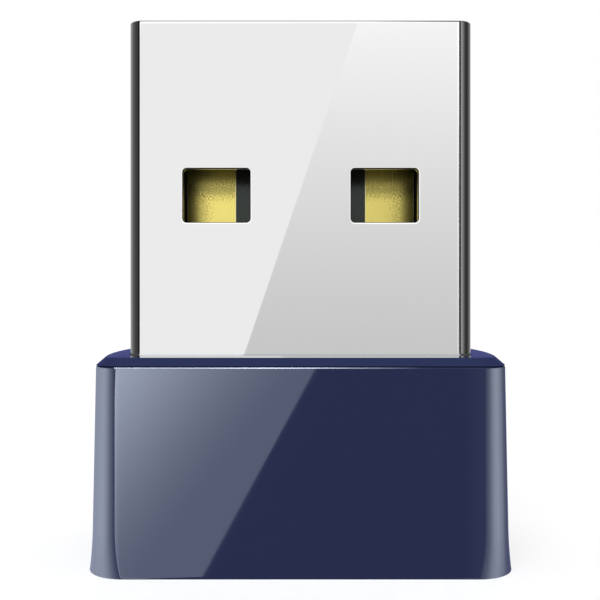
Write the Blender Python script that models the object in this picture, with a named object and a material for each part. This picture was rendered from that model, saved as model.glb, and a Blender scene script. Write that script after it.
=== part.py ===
"""Nano USB wireless adapter: a type A plug on a small moulded housing.

It stands on the housing's base with the plug up. The origin is the middle of the base, X runs
across the broad faces, -Y is the side that the plug's contacts face, and +Z points to the tip.
"""

import math

import bmesh
import bpy
from mathutils import Vector

MM = 0.001

# Plug, a standard type A sleeve of folded sheet
PLUG_WIDTH = 12.0 * MM
PLUG_THICKNESS = 4.5 * MM
PLUG_REACH = 11.68 * MM  # from the cover's top face to the tip
SHEET = 0.3 * MM
PLUG_CORNER = 0.45 * MM  # outside radius of the folds
TIP_EASE = 0.06 * MM
WINDOW_WIDTH = 2.4 * MM
WINDOW_HEIGHT = 1.93 * MM
WINDOW_CORNER = 0.13 * MM
WINDOW_OFFSET = 2.93 * MM  # from the plug's middle to a window's middle
WINDOW_SETBACK = 5.16 * MM  # from the tip to the windows
SEAM_GAP = 0.04 * MM  # between the folded sheet's two edges
DOVETAIL_NECK = 1.3 * MM
DOVETAIL_HEAD = 1.9 * MM
DOVETAIL_DEPTH = 1.1 * MM
LEG_LENGTH = 1.9 * MM
LEG_WIDTH = 1.6 * MM
STOP_TAB_WIDTH = 3.0 * MM
STOP_TAB_REACH = 0.45 * MM

# Housing
SHOULDER_SIDE = 1.22 * MM  # how far the rim stands out past the plug's sides
SHOULDER_FRONT = 1.3 * MM  # and past its broad faces
END_RUN = 1.07 * MM  # from the end of a broad face's flat stretch to the end of the case
CASE_WALL = 0.7 * MM
CASE_FLOOR = 0.8 * MM
END_RADIUS = 16.5 * MM  # bow of the short ends
CASE_RIM = 7.07 * MM  # height of the case's rim
DRAFT = math.radians(1.2)
FLARE_HEIGHT = 1.6 * MM
FLARE_RADIUS = 12.6 * MM
FOOT_ROUNDING = 2.0  # the broad faces' flat stretch shortens by this much times the flare
BASE_EASE = 0.03 * MM
RIM_EASE = 0.06 * MM
COVER_CHAMFER_RISE = 0.27 * MM
COVER_CHAMFER_RUN = 0.31 * MM
SPIGOT_DEPTH = 0.85 * MM  # how far the cover's spigot reaches into the case
HOOK_WIDTH = 2.0 * MM
HOOK_HEIGHT = 0.3 * MM
HOOK_REACH = 0.15 * MM
HOOK_SPACING = 8.6 * MM
SPIGOT_LEAD_IN = 0.2 * MM  # clears the bends of the sleeve's stop tabs
RIB_THICKNESS = 0.6 * MM

# Board, contacts and filler
BOARD_THICKNESS = 0.8 * MM
BOARD_HEAD_MARGIN = 0.12 * MM  # between the board's head and the case's end walls
PARTS_ROW = 2.4 * MM  # strip of the head, under its shoulders, that holds the small parts
PART_SPACING = 0.35 * MM
TONGUE_SETBACK = 0.65 * MM  # from the plug's tip to the board's tip
CONTACT_THICKNESS = 0.06 * MM
CONTACT_CORNER = 0.2 * MM
POWER_CONTACT_WIDTH = 1.84 * MM
DATA_CONTACT_WIDTH = 1.2 * MM
POWER_CONTACT_OFFSET = 3.33 * MM
DATA_CONTACT_OFFSET = 1.0 * MM
POWER_CONTACT_SETBACK = 0.45 * MM  # from the board's tip
DATA_CONTACT_SETBACK = 1.45 * MM
POWER_CONTACT_LENGTH = 8.6 * MM
FILLER_LIP = 0.24 * MM  # thickness of the filler's nose over the board's tip
STOP_BAR_HEIGHT = 1.9 * MM  # bar that closes the bottom of the plug's mouth
STOP_BAR_PEG = 0.45 * MM
CHIP_WIDTH = 6.5 * MM
CHIP_HEIGHT = 4.5 * MM
CHIP_THICKNESS = 0.8 * MM
CRYSTAL_SIZE = (3.2 * MM, 2.0 * MM, 0.3 * MM, 0.45 * MM)  # across, up, base and lid heights
CRYSTAL_RIM = 0.15 * MM
INDUCTOR_SIZE = (2.4 * MM, 2.0 * MM, 1.2 * MM)  # across, up and out from the board
REGULATOR_SIZE = (2.0 * MM, 2.0 * MM, 0.75 * MM)
GUARD_SIZE = (1.6 * MM, 1.0 * MM, 0.5 * MM)
CAPACITOR_SIZE = (1.6 * MM, 0.8 * MM, 0.8 * MM)  # length, width and height
SMALL_CAPACITOR_SIZE = (1.0 * MM, 0.5 * MM, 0.5 * MM)
CAP_PROUD = 0.02 * MM
PART_EDGE = 0.05 * MM
DIMPLE_SIZE = 0.3 * MM  # mark beside a chip's first pin
DIMPLE_DEPTH = 0.05 * MM
TRACK_WIDTH = 0.35 * MM
SOLDER_SIZE = 0.5 * MM

# Clearances
COVER_GAP = 0.02 * MM  # between the rim and the cover
SPIGOT_FIT = 0.03 * MM
PLUG_FIT = 0.04 * MM  # round the plug in the cover's opening
BOARD_FIT = 0.05 * MM
SOLDERED = 0.02 * MM  # under anything soldered or bonded to the board

CORNER_STEPS = 8
END_STEPS = 8
EASE_STEPS = 3

# Heights and half sizes that follow from the sizes above
CASE_WIDTH = PLUG_WIDTH + 2 * SHOULDER_SIDE  # at the joint with the cover
CASE_DEPTH = PLUG_THICKNESS + 2 * SHOULDER_FRONT
CASE_FLAT = CASE_WIDTH - 2 * END_RUN
COVER_BOTTOM = CASE_RIM + COVER_GAP
COVER_TOP = COVER_BOTTOM + COVER_CHAMFER_RISE
PLUG_TIP = COVER_TOP + PLUG_REACH
SPIGOT_BOTTOM = CASE_RIM - SPIGOT_DEPTH
STOP_TAB_TOP = SPIGOT_BOTTOM - COVER_GAP
SLEEVE_BOTTOM = STOP_TAB_TOP - SHEET
LEG_BOTTOM = SLEEVE_BOTTOM - LEG_LENGTH
SHOULDER = SLEEVE_BOTTOM - SOLDERED
CAVITY_X = PLUG_WIDTH / 2 - SHEET
CAVITY_Y = PLUG_THICKNESS / 2 - SHEET
BOARD_FRONT = CONTACT_THICKNESS + SOLDERED
BOARD_BACK = BOARD_FRONT + BOARD_THICKNESS
BOARD_MIDDLE = (BOARD_FRONT + BOARD_BACK) / 2
BOARD_BOTTOM = CASE_FLOOR + BOARD_FIT
BOARD_TIP = PLUG_TIP - TONGUE_SETBACK
TONGUE_X = CAVITY_X - BOARD_FIT
HEAD_X = CASE_WIDTH / 2 - CASE_WALL - BOARD_HEAD_MARGIN
PARTS_X = TONGUE_X - SOLDER_SIZE - PART_SPACING  # small parts stay inside the solder
ANTENNA_X = HEAD_X - RIB_THICKNESS - TRACK_WIDTH
PARTS_BOTTOM = SHOULDER - PARTS_ROW
CHIP_BOTTOM = SHOULDER + 2 * SHEET
FILLER_X = CAVITY_X - (PLUG_CORNER - SHEET)  # flat stretch between the folds
CONTACT_BOTTOM = BOARD_TIP - POWER_CONTACT_SETBACK - POWER_CONTACT_LENGTH
STOP_BAR_TOP = CONTACT_BOTTOM - BOARD_FIT
STOP_BAR_BOTTOM = STOP_BAR_TOP - STOP_BAR_HEIGHT


def material(name, colour, roughness, metallic=0.0):
    made = bpy.data.materials.new(name)
    made.use_nodes = True
    made.diffuse_color = (*colour, 1.0)
    shader = made.node_tree.nodes["Principled BSDF"]
    shader.inputs["Base Color"].default_value = (*colour, 1.0)
    shader.inputs["Roughness"].default_value = roughness
    shader.inputs["Metallic"].default_value = metallic
    return made


def place(name, bm, finish=None):
    """Links the finished bmesh as an object; one without a finish is a hidden cutter or helper."""
    bmesh.ops.recalc_face_normals(bm, faces=bm.faces[:])
    mesh = bpy.data.meshes.new(name)
    bm.to_mesh(mesh)
    bm.free()
    mesh.shade_smooth()
    mesh.set_sharp_from_angle(angle=math.radians(30))
    obj = bpy.data.objects.new(name, mesh)
    bpy.context.scene.collection.objects.link(obj)
    if finish:
        mesh.materials.append(finish)
    else:
        obj.hide_render = True
        obj.display_type = "WIRE"
    return obj


def loft(name, rings, finish=None, closed=False):
    """Skins rings of equally many points. The first and last are capped, or joined if closed."""
    bm = bmesh.new()
    loops = [[bm.verts.new(point) for point in ring] for ring in rings]
    following = loops[1:] + loops[:1] if closed else loops[1:]
    for lower, upper in zip(loops, following):
        for i in range(len(lower)):
            j = (i + 1) % len(lower)
            bm.faces.new((lower[i], lower[j], upper[j], upper[i]))
    if not closed:
        bm.faces.new(loops[0])
        bm.faces.new(loops[-1])
    return place(name, bm, finish)


def extruded(name, outline, travel, finish=None):
    """Solid swept from a closed flat outline along the vector travel."""
    bm = bmesh.new()
    face = bm.faces.new([bm.verts.new(point) for point in outline])
    swept = bmesh.ops.extrude_face_region(bm, geom=[face])
    moved = [item for item in swept["geom"] if isinstance(item, bmesh.types.BMVert)]
    bmesh.ops.translate(bm, verts=moved, vec=travel)
    return place(name, bm, finish)


def block(name, low, high, finish=None):
    """Solid box between two corners, with its origin in its middle."""
    low, high = Vector(low), Vector(high)
    bm = bmesh.new()
    bmesh.ops.create_cube(bm, size=1.0)
    bmesh.ops.scale(bm, verts=bm.verts[:], vec=high - low)
    made = place(name, bm, finish)
    made.location = (low + high) / 2
    return made


def combine(body, tool, operation):
    """Adds the tool to the body, or takes it away, with an exact Boolean."""
    step = body.modifiers.new(tool.name, "BOOLEAN")
    step.operation = operation
    step.object = tool


def soften(body, width, segments=1):
    step = body.modifiers.new("edges", "BEVEL")
    step.width = width
    step.segments = segments
    step.limit_method = "ANGLE"
    step.angle_limit = math.radians(40)


def arc(centre_x, centre_y, radius, start, end, steps):
    turns = [start + (end - start) * i / steps for i in range(steps + 1)]
    return [(centre_x + radius * math.cos(t), centre_y + radius * math.sin(t)) for t in turns]


def turned_round(half):
    """Whole outline from its +X half, which is the same after half a turn."""
    return half + [(-x, -y) for x, y in half]


def plug_outline(outset=0.0):
    """The sleeve's outer rectangle with rounded corners, made larger all round by outset."""
    corner = PLUG_CORNER + outset
    x = PLUG_WIDTH / 2 + outset - corner
    y = PLUG_THICKNESS / 2 + outset - corner
    front = arc(x, -y, corner, -math.pi / 2, 0, CORNER_STEPS)
    side = [(x + corner, -y + 2 * y * i / END_STEPS) for i in range(1, END_STEPS)]
    back = arc(x, y, corner, 0, math.pi / 2, CORNER_STEPS)
    return turned_round(front + side + back)


def case_flare(height):
    """How far the ends spread towards the foot, on top of their draft."""
    return max(FLARE_HEIGHT - height, 0) ** 2 / (2 * FLARE_RADIUS)


def case_half_width(height):
    return CASE_WIDTH / 2 + (CASE_RIM - height) * math.tan(DRAFT) + case_flare(height)


def case_outline(height, inset=0.0, flat=CASE_FLAT / 2):
    """The housing's outline at a height: straight broad sides, bowed ends, tangent corners."""
    half_depth = CASE_DEPTH / 2 - inset
    half_width = case_half_width(height) - inset
    flat = flat - FOOT_ROUNDING * case_flare(height)
    bow = END_RADIUS - inset
    beyond = half_width - flat
    corner = (2 * bow * beyond - beyond**2 - half_depth**2) / (2 * (bow - half_depth))
    bow_x = half_width - bow
    tangent = math.atan2(half_depth - corner, flat - bow_x)
    front = arc(flat, corner - half_depth, corner, -math.pi / 2, -tangent, CORNER_STEPS)
    end = arc(bow_x, 0, bow, -tangent, tangent, END_STEPS)[1:-1]
    back = arc(flat, half_depth - corner, corner, tangent, math.pi / 2, CORNER_STEPS)
    return turned_round(front + end + back)


def at_height(outline, height):
    return [(x, y, height) for x, y in outline]


def upright(outline, depth):
    """An outline drawn in X and Z, set at a depth along Y."""
    return [(x, depth, z) for x, z in outline]


def rounded_rectangle(width, height, corner, middle_x, middle_z, steps=3):
    """Outline in X and Z."""
    x, z = width / 2 - corner, height / 2 - corner
    quarters = [(x, -z, -90), (x, z, 0), (-x, z, 90), (-x, -z, 180)]
    points = []
    for corner_x, corner_z, start in quarters:
        turn = math.radians(start)
        points += arc(corner_x, corner_z, corner, turn, turn + math.pi / 2, steps)
    return [(middle_x + px, middle_z + pz) for px, pz in points]


def ribbon(path, width):
    """Outline of a strip of even width along a path of straight runs, mitred at each turn."""
    points = [Vector(point) for point in path]
    runs = [(b - a).normalized() for a, b in zip(points, points[1:])]
    sides = []
    for i, point in enumerate(points):
        before = runs[max(i - 1, 0)].orthogonal()
        after = runs[min(i, len(runs) - 1)].orthogonal()
        mitre = before + after
        sides.append((point, mitre * (width / (1 + before.dot(after)) / 2)))
    left = [tuple(point + side) for point, side in sides]
    right = [tuple(point - side) for point, side in sides]
    return left + right[::-1]


def inner_outline(height, play=0.0):
    """The case's inside wall at a height, or what slides into it with play all round."""
    return case_outline(height, CASE_WALL + play, CASE_FLAT / 2 - CASE_WALL - play)


def eased_edge(radius):
    """Steps of a rounded edge: how far in from the side, and how far down from the top."""
    turns = [math.pi / 2 * i / EASE_STEPS for i in range(EASE_STEPS + 1)]
    return [(radius * (1 - math.cos(t)), radius * (1 - math.sin(t))) for t in turns]


def guide_rib(end, side):
    """Rib that stands in from an end wall, just clear of one face of the board."""
    face = BOARD_BACK + BOARD_FIT if side > 0 else BOARD_FRONT - BOARD_FIT
    wall_x = case_half_width(0) - CASE_WALL / 2
    across = sorted((end * wall_x, end * (HEAD_X - RIB_THICKNESS)))
    deep = sorted((face, face + side * RIB_THICKNESS))
    low, high = zip(across, deep, (CASE_FLOOR / 2, LEG_BOTTOM - BOARD_FIT))
    return block(f"guide_rib_{end}_{side}", low, high)


def make_housing(finish):
    """Deep cup with flared ends. Its rim takes the cover's spigot and hooks."""
    flare_levels = [FLARE_HEIGHT * (i / 5) for i in range(1, 6)]
    outside = [
        at_height(case_outline(0, down), inset) for inset, down in eased_edge(BASE_EASE)
    ]
    outside += [at_height(case_outline(height), height) for height in flare_levels]
    outside += [
        at_height(case_outline(CASE_RIM, inset), CASE_RIM - down)
        for inset, down in eased_edge(RIM_EASE)
    ]
    inside = [at_height(inner_outline(h), h) for h in (CASE_RIM, FLARE_HEIGHT, CASE_FLOOR)]
    housing = loft("housing", outside + inside, finish)
    for end in (-1, 1):
        for side in (-1, 1):
            pocket = hook_prism(f"hook_pocket_{end}_{side}", end, side, BOARD_FIT)
            combine(housing, guide_rib(end, side), "UNION")
            combine(housing, pocket, "DIFFERENCE")
    return housing


def hook_prism(name, end, side, play):
    """Wedge of one snap hook, or with play the pocket that it springs into."""
    wall_y = CASE_DEPTH / 2 - CASE_WALL - SPIGOT_FIT
    root_y = wall_y - SPIGOT_FIT
    low = SPIGOT_BOTTOM + HOOK_HEIGHT / 2 - play
    high = low + HOOK_HEIGHT + 2 * play
    reach = wall_y + HOOK_REACH + play
    middle = end * HOOK_SPACING / 2
    half = HOOK_WIDTH / 2 + play
    ramp_top = high - HOOK_HEIGHT / 3 - 2 * play
    section = [(root_y, low), (root_y, high), (reach, high), (reach, ramp_top)]
    outline = [(middle - half, side * y, z) for y, z in section]
    return extruded(name, outline, (2 * half, 0, 0))


def make_top_cover(finish):
    rings = [
        at_height(case_outline(CASE_RIM), COVER_BOTTOM),
        at_height(case_outline(CASE_RIM, COVER_CHAMFER_RUN), COVER_TOP),
        at_height(plug_outline(PLUG_FIT), COVER_TOP),
        at_height(plug_outline(PLUG_FIT), SPIGOT_BOTTOM + SPIGOT_LEAD_IN),
        at_height(plug_outline(PLUG_FIT + SPIGOT_LEAD_IN), SPIGOT_BOTTOM),
        at_height(inner_outline(CASE_RIM, SPIGOT_FIT), SPIGOT_BOTTOM),
        at_height(inner_outline(CASE_RIM, SPIGOT_FIT), COVER_BOTTOM),
    ]
    cover = loft("top_cover", rings, finish, closed=True)
    for end in (-1, 1):
        for side in (-1, 1):
            combine(cover, hook_prism(f"hook_{end}_{side}", end, side, 0.0), "UNION")
    return cover


def make_plug_shell(finish):
    """Sleeve folded from one strip: its edges meet in a dovetailed seam up the back."""
    eased = plug_outline(-TIP_EASE)
    inner = plug_outline(-SHEET)
    inner_eased = plug_outline(TIP_EASE - SHEET)
    rings = [
        at_height(plug_outline(), LEG_BOTTOM),
        at_height(plug_outline(), PLUG_TIP - TIP_EASE),
        at_height(eased, PLUG_TIP),
        at_height(inner_eased, PLUG_TIP),
        at_height(inner, PLUG_TIP - TIP_EASE),
        at_height(inner, LEG_BOTTOM),
    ]
    sleeve = loft("plug_shell", rings, finish, closed=True)
    through = PLUG_THICKNESS
    for side, mark in ((-1, "left"), (1, "right")):
        opening = rounded_rectangle(
            WINDOW_WIDTH,
            WINDOW_HEIGHT,
            WINDOW_CORNER,
            side * WINDOW_OFFSET,
            PLUG_TIP - WINDOW_SETBACK - WINDOW_HEIGHT / 2,
            steps=4,
        )
        window = extruded(f"window_{mark}", upright(opening, -through), (0, 2 * through, 0))
        combine(sleeve, window, "DIFFERENCE")
    # The lower end is cut back to one leg on each side, level with the board.
    leg_faces = (BOARD_MIDDLE - LEG_WIDTH / 2, BOARD_MIDDLE + LEG_WIDTH / 2)
    for name, low_y, high_y in (
        ("front_cutback", -through, leg_faces[0]),
        ("back_cutback", leg_faces[1], through),
    ):
        cutback = block(
            name,
            (-PLUG_WIDTH, low_y, LEG_BOTTOM - SHEET),
            (PLUG_WIDTH, high_y, SLEEVE_BOTTOM),
        )
        combine(sleeve, cutback, "DIFFERENCE")
    for side in (-1, 1):
        combine(sleeve, stop_tab(side), "UNION")
    seam_middle = PLUG_TIP - PLUG_REACH * 0.36
    neck, head = DOVETAIL_NECK / 2, DOVETAIL_HEAD / 2
    seam_path = [
        (0, PLUG_TIP + SHEET),
        (0, seam_middle + neck),
        (DOVETAIL_DEPTH, seam_middle + head),
        (DOVETAIL_DEPTH, seam_middle - head),
        (0, seam_middle - neck),
        (0, SLEEVE_BOTTOM - SHEET),
    ]
    seam_outline = upright(ribbon(seam_path, SEAM_GAP), CAVITY_Y - SHEET)
    seam = extruded("seam_cut", seam_outline, (0, 3 * SHEET, 0))
    combine(sleeve, seam, "DIFFERENCE")
    return sleeve


def stop_tab(side):
    """Tab bent out of the sleeve's lower edge, which the cover's spigot holds down."""
    inner_y, outer_y = CAVITY_Y, PLUG_THICKNESS / 2
    bend = SHEET * 1.5
    steps = 5
    section = [(inner_y, SLEEVE_BOTTOM + 2 * SHEET)]
    section += arc(
        inner_y + bend, SLEEVE_BOTTOM + bend, bend, math.pi, 1.5 * math.pi, steps
    )
    section += [
        (outer_y + STOP_TAB_REACH, SLEEVE_BOTTOM),
        (outer_y + STOP_TAB_REACH, STOP_TAB_TOP),
    ]
    section += arc(
        inner_y + bend,
        SLEEVE_BOTTOM + bend,
        bend - SHEET,
        1.5 * math.pi,
        math.pi,
        steps,
    )
    section += [(outer_y, SLEEVE_BOTTOM + 2 * SHEET)]
    outline = [(-STOP_TAB_WIDTH / 2, side * y, z) for y, z in section]
    return extruded(f"stop_tab_{side}", outline, (STOP_TAB_WIDTH, 0, 0))


def make_main_board(finish):
    """T-shaped board: the tongue runs up the plug, and the head stands in the housing."""
    slot_out = PLUG_WIDTH / 2 + BOARD_FIT
    slot_bottom = LEG_BOTTOM - BOARD_FIT
    notch_x = FILLER_X - STOP_BAR_PEG - BOARD_FIT
    nose = BOARD_THICKNESS / 2
    right = [
        (HEAD_X, BOARD_BOTTOM),
        (HEAD_X, SHOULDER),
        (slot_out, SHOULDER),
        (slot_out, slot_bottom),
        (TONGUE_X, slot_bottom),
        (TONGUE_X, STOP_BAR_BOTTOM - BOARD_FIT),
        (notch_x, STOP_BAR_BOTTOM - BOARD_FIT),
        (notch_x, STOP_BAR_TOP + BOARD_FIT),
        (TONGUE_X, STOP_BAR_TOP + BOARD_FIT),
        (TONGUE_X, BOARD_TIP - nose),
        (TONGUE_X - nose, BOARD_TIP),
    ]
    outline = right + [(-x, z) for x, z in reversed(right)]
    travel = (0, BOARD_THICKNESS, 0)
    return extruded("main_board", upright(outline, BOARD_FRONT), travel, finish)


def make_contact(name, offset, width, setback, finish):
    """Gold-plated finger on the tongue's front. All four end at the same height below."""
    top = BOARD_TIP - setback
    length = top - CONTACT_BOTTOM
    middle = (top + CONTACT_BOTTOM) / 2
    outline = rounded_rectangle(width, length, CONTACT_CORNER, offset, middle)
    return extruded(name, upright(outline, 0), (0, CONTACT_THICKNESS, 0), finish)


def make_plug_carrier(finish):
    """Filler behind the tongue, with a nose over the board's tip and a pocket for the chip."""
    front = BOARD_BACK + SOLDERED
    back = CAVITY_Y - SOLDERED
    bottom = SHOULDER + BOARD_FIT
    lip = BOARD_TIP + SOLDERED
    top = lip + FILLER_LIP
    section = [
        (front, bottom),
        (back, bottom),
        (back, top - FILLER_LIP / 2),
        (back - FILLER_LIP / 2, top),
        (BOARD_FRONT + FILLER_LIP / 2, top),
        (BOARD_FRONT, top - FILLER_LIP / 2),
        (BOARD_FRONT, lip),
        (front, lip),
    ]
    outline = [(-FILLER_X, y, z) for y, z in section]
    carrier = extruded("plug_carrier", outline, (2 * FILLER_X, 0, 0), finish)
    half_pocket = CHIP_WIDTH / 2 + BOARD_FIT
    pocket = block(
        "chip_pocket",
        (-half_pocket, front - SHEET, CHIP_BOTTOM - BOARD_FIT),
        (half_pocket, back + SHEET, CHIP_BOTTOM + CHIP_HEIGHT + BOARD_FIT),
    )
    combine(carrier, pocket, "DIFFERENCE")
    for side, mark in ((-1, "left"), (1, "right")):
        socket = stop_bar_peg(f"peg_socket_{mark}", side, BOARD_FIT)
        combine(carrier, socket, "DIFFERENCE")
    return carrier


def stop_bar_peg(name, side, play):
    """Peg that runs past the tongue's edge into the filler, or with play the socket for it."""
    inner = side * (FILLER_X - STOP_BAR_PEG - play)
    outer = side * (FILLER_X + play)
    low = (min(inner, outer), BOARD_FRONT - SHEET / 2, STOP_BAR_BOTTOM - play)
    high = (max(inner, outer), BOARD_BACK + SHEET + play, STOP_BAR_TOP + play)
    return block(name, low, high)


def make_stop_bar(finish):
    """Bar across the front of the tongue's root: it closes the bottom of the plug's mouth."""
    bar = block(
        "stop_bar",
        (-FILLER_X, SOLDERED - CAVITY_Y, STOP_BAR_BOTTOM),
        (FILLER_X, BOARD_FRONT - SOLDERED, STOP_BAR_TOP),
        finish,
    )
    for side, mark in ((-1, "left"), (1, "right")):
        combine(bar, stop_bar_peg(f"peg_{mark}", side, 0.0), "UNION")
    return bar


def make_solder(name, side, finish):
    """Fillet of solder between a leg of the sleeve and the board's front face."""
    leg_x = CAVITY_X - SOLDERED
    face = BOARD_FRONT - SOLDERED
    section = [
        (side * leg_x, face),
        (side * (leg_x - SOLDER_SIZE), face),
        (side * (leg_x - SOLDER_SIZE / 3), face - SOLDER_SIZE / 3),
        (side * leg_x, face - SOLDER_SIZE),
    ]
    low = LEG_BOTTOM + BOARD_FIT
    high = SLEEVE_BOTTOM - 2 * BOARD_FIT
    return extruded(name, at_height(section, low), (0, 0, high - low), finish)


def make_antenna(finish):
    """Printed meander along the board's lower edge, with its feed running up the board."""
    low = BOARD_BOTTOM + TRACK_WIDTH
    high = PARTS_BOTTOM - TRACK_WIDTH
    pitch = 2 * TRACK_WIDTH
    feed_x = ANTENNA_X
    runs = int(2 * feed_x / pitch)
    path = [(feed_x, high + 2 * TRACK_WIDTH)]
    for i in range(runs + 1):
        x = feed_x - i * pitch
        ends = (high, low) if i % 2 == 0 else (low, high)
        path += [(x, ends[0]), (x, ends[1])]
    path.pop(1)
    outline = ribbon(path, TRACK_WIDTH)
    thickness = CONTACT_THICKNESS / 2
    front = BOARD_FRONT - SOLDERED - thickness
    return extruded("antenna", upright(outline, front), (0, thickness, 0), finish)


def board_face(side):
    """Depth at which a part stands on the board's front (-1) or back (1)."""
    return BOARD_FRONT - SOLDERED if side < 0 else BOARD_BACK + SOLDERED


def on_board(name, size, middle, side, finish):
    """Block part standing on the board. Its size is across, up, and out from the board."""
    across, up, out = size
    near, far = sorted((board_face(side), board_face(side) + side * out))
    x, z = middle
    low = (x - across / 2, near, z - up / 2)
    high = (x + across / 2, far, z + up / 2)
    part = block(name, low, high, finish)
    soften(part, PART_EDGE)
    return part


def make_chip(name, size, middle, side):
    """Moulded chip with a round dimple in its face, beside its first pin."""
    chip = on_board(name, size, middle, side, EPOXY)
    across, up, out = size
    face = board_face(side) + side * out
    x = middle[0] - across / 2 + DIMPLE_SIZE
    z = middle[1] + up / 2 - DIMPLE_SIZE
    outline = arc(x, z, DIMPLE_SIZE / 2, 0, 2 * math.pi, 2 * CORNER_STEPS)[:-1]
    cut = upright(outline, face - side * DIMPLE_DEPTH)
    dimple = extruded(f"{name}_dimple", cut, (0, 2 * side * DIMPLE_DEPTH, 0))
    combine(chip, dimple, "DIFFERENCE")
    return chip


def end_capped(name, size, middle, side, upright_part, finish):
    """Ceramic chip part with metal ends that stand slightly proud of its body."""
    length, width, height = size
    centre = board_face(side) + side * height / 2
    half, cap = length / 2, length / 5
    stations = [(-half, 0), (cap - half, 0), (cap - half, CAP_PROUD)]
    stations += [(-along, inset) for along, inset in reversed(stations)]
    rings = []
    for along, inset in stations:
        across, out = width / 2 - inset, height / 2 - inset
        square = [(-across, -out), (across, -out), (across, out), (-across, out)]
        if upright_part:
            rings.append([(middle[0] + a, centre + o, middle[1] + along) for a, o in square])
        else:
            rings.append([(middle[0] + along, centre + o, middle[1] + a) for a, o in square])
    return loft(name, rings, finish)


def make_crystal(middle, finish):
    """Seam-welded can: a shallow base with a slightly smaller raised lid."""
    length, width, base_height, lid_height = CRYSTAL_SIZE
    crystal = on_board("crystal", (length, width, base_height), middle, 1, finish)
    half_x, half_z = length / 2 - CRYSTAL_RIM, width / 2 - CRYSTAL_RIM
    low = (middle[0] - half_x, board_face(1) + base_height / 2, middle[1] - half_z)
    high = (middle[0] + half_x, board_face(1) + base_height + lid_height, middle[1] + half_z)
    lid = block("crystal_lid", low, high)
    soften(lid, PART_EDGE)
    combine(crystal, lid, "UNION")
    return crystal


def row_places(start, widths):
    """Middles of parts set side by side from start, one PART_SPACING apart."""
    places = []
    for width in widths:
        places.append(start + width / 2)
        start += width + PART_SPACING
    return places


def make_front_parts():
    """Power and antenna-matching parts, along the head's front face."""
    row = SHOULDER - PARTS_ROW / 2
    widths = (INDUCTOR_SIZE[0], REGULATOR_SIZE[0], GUARD_SIZE[0])
    inductor_x, regulator_x, guard_x = row_places(-PARTS_X, widths)
    on_board("power_inductor", INDUCTOR_SIZE, (inductor_x, row), -1, FERRITE)
    make_chip("voltage_regulator", REGULATOR_SIZE, (regulator_x, row), -1)
    make_chip("esd_guard", GUARD_SIZE, (guard_x, row), -1)
    length, width, _ = SMALL_CAPACITOR_SIZE
    outer_x = PARTS_X - length / 2
    inner_x = outer_x - length - PART_SPACING
    low = PARTS_BOTTOM + PART_SPACING + width / 2
    high = low + width + PART_SPACING
    size = SMALL_CAPACITOR_SIZE
    end_capped("matching_inductor", size, (outer_x, low), -1, False, CERAMIC)
    end_capped("matching_capacitor_1", size, (inner_x, low), -1, False, CERAMIC)
    end_capped("matching_capacitor_2", size, (inner_x, high), -1, False, CERAMIC)


def make_back_parts():
    """The radio chip inside the plug, and its crystal and capacitors on the head."""
    chip_middle = (0, CHIP_BOTTOM + CHIP_HEIGHT / 2)
    make_chip("wifi_chip", (CHIP_WIDTH, CHIP_HEIGHT, CHIP_THICKNESS), chip_middle, 1)
    row = SHOULDER - PARTS_ROW / 2 - BOARD_FIT
    crystal_x = CRYSTAL_SIZE[0] / 2 - PARTS_X
    make_crystal((crystal_x, row), CAN)
    length, width, _ = CAPACITOR_SIZE
    start = crystal_x + CRYSTAL_SIZE[0] / 2 + PART_SPACING
    input_x, output_x = row_places(start, (width, width))
    end_capped("input_capacitor", CAPACITOR_SIZE, (input_x, row), 1, True, CERAMIC)
    end_capped("output_capacitor", CAPACITOR_SIZE, (output_x, row), 1, True, CERAMIC)
    small_x = output_x + width / 2 + PART_SPACING + SMALL_CAPACITOR_SIZE[0] / 2
    apart = (SMALL_CAPACITOR_SIZE[1] + PART_SPACING) / 2
    for name, height in (("supply_capacitor_1", row + apart), ("supply_capacitor_2", row - apart)):
        end_capped(name, SMALL_CAPACITOR_SIZE, (small_x, height), 1, False, CERAMIC)


for old in list(bpy.data.objects):
    bpy.data.objects.remove(old)

NAVY = material("navy_gloss_plastic", (0.021, 0.026, 0.075), 0.12)
NICKEL = material("nickel_plated_sheet", (0.82, 0.83, 0.84), 0.18, 1.0)
GOLD = material("gold_plating", (0.83, 0.68, 0.27), 0.2, 1.0)
MASK = material("black_solder_mask", (0.035, 0.04, 0.038), 0.35)
BLACK = material("black_moulding", (0.02, 0.02, 0.02), 0.5)
COPPER = material("tinned_copper", (0.8, 0.55, 0.4), 0.3, 1.0)
TIN = material("solder", (0.7, 0.71, 0.72), 0.3, 1.0)
CAN = material("plated_can", (0.75, 0.76, 0.77), 0.25, 1.0)
EPOXY = material("chip_epoxy", (0.03, 0.03, 0.033), 0.6)
CERAMIC = material("ceramic", (0.55, 0.42, 0.3), 0.5)
FERRITE = material("ferrite", (0.08, 0.08, 0.085), 0.7)

make_housing(NAVY)
make_top_cover(NAVY)
make_plug_shell(NICKEL)
make_main_board(MASK)
make_plug_carrier(BLACK)
make_stop_bar(BLACK)
POWER = (POWER_CONTACT_OFFSET, POWER_CONTACT_WIDTH, POWER_CONTACT_SETBACK)
DATA = (DATA_CONTACT_OFFSET, DATA_CONTACT_WIDTH, DATA_CONTACT_SETBACK)
for contact_name, contact_side, (offset, width, setback) in (
    ("contact_vbus", -1, POWER),
    ("contact_data_minus", -1, DATA),
    ("contact_data_plus", 1, DATA),
    ("contact_ground", 1, POWER),
):
    make_contact(contact_name, contact_side * offset, width, setback, GOLD)
make_solder("solder_left", -1, TIN)
make_solder("solder_right", 1, TIN)
make_antenna(COPPER)
make_front_parts()
make_back_parts()
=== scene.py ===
import math
from collections import namedtuple

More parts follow.
